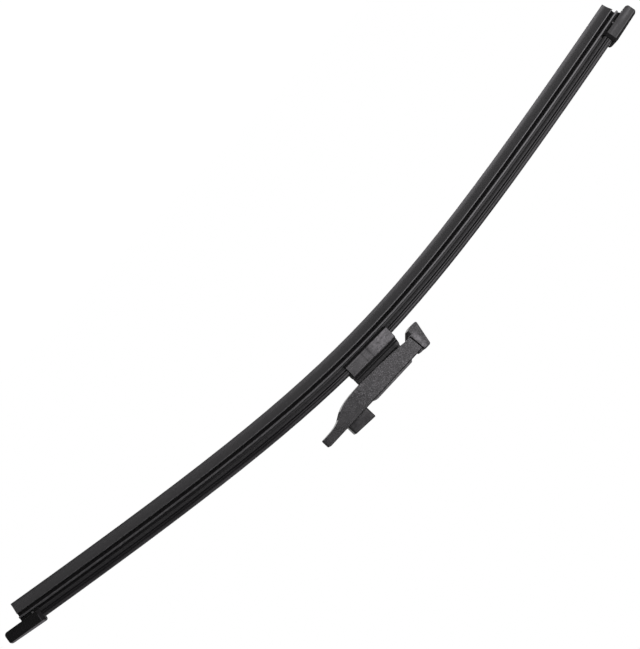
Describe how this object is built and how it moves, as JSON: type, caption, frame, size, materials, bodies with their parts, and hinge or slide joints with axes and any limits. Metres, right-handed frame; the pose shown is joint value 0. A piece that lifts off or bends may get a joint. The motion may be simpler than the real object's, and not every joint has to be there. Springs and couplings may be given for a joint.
{
  "type": "wiper blade",
  "caption": "Flat bowed rear-window wiper blade with end caps and a rocking adapter bar that clips into the wiper arm.",
  "frame": {"origin": "centre of the pivot pin, half way across the adapter bar, where the wiper arm's channel grips it", "axes": "+X along the blade towards the wiper arm, +Y along the pivot pin, +Z away from the glass"},
  "size_m": [0.3488, 0.0124, 0.0532],
  "materials": {
    "rubber": "dull black, a little paler at the lip",
    "spring_steel": "dark tempered",
    "cover_plastic": "satin black",
    "cap_plastic": "satin black",
    "bracket_paint": "worn satin dark grey",
    "block_plastic": "satin black",
    "pin_steel": "bright drawn",
    "adapter_plastic": "fine-grained dark grey",
    "button_plastic": "fine-grained dark grey"
  },
  "bodies": {
    "adapter": {"adapter_body": "adapter_plastic", "nose_cap": "adapter_plastic", "button_spring": "pin_steel"},
    "blade": {"wiper_rubber": "rubber", "spring_strip_front": "spring_steel", "spring_strip_rear": "spring_steel", "top_cover_long": "cover_plastic", "top_cover_short": "cover_plastic", "end_cap_long": "cap_plastic", "end_cap_short": "cap_plastic", "clamp_bracket": "bracket_paint", "pivot_block": "block_plastic", "pivot_pin": "pin_steel"},
    "button": {"lock_button": "button_plastic"}
  },
  "joints": [
    {"name": "blade_rock", "type": "hinge", "parent": "adapter", "child": "blade", "pos_m": [0, 0, 0], "axis": [0, 1, 0], "range_deg": [-12, 8]},
    {"name": "lock_press", "type": "slide", "parent": "adapter", "child": "button", "axis": [0, 0, -1], "range_m": [0, 0.0022], "stiffness_N_per_m": 900, "springref_m": -0.0012, "deforming": ["button_spring"]}
  ]
}
